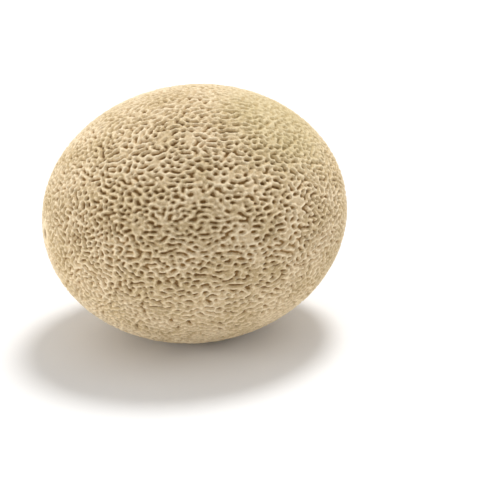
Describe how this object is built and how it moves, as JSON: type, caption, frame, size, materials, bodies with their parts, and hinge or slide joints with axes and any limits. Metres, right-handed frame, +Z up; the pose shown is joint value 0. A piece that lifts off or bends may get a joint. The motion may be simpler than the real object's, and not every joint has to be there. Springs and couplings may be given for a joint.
{
  "type": "netted melon",
  "caption": "Whole oval netted melon, with a raised corky net all over, a sunken stem scar at one end and a small flat ground spot it lies on.",
  "frame": {"origin": "on the resting surface, under the middle of the fruit", "axes": "+X along the long axis towards the stem scar, +Z up from the flat ground spot"},
  "size_m": [0.1676, 0.14, 0.1384],
  "materials": {
    "netted_rind": "dry pale beige corky net over an olive-brown rind, matt"
  },
  "bodies": {
    "root": {"melon": "netted_rind"}
  },
  "joints": []
}
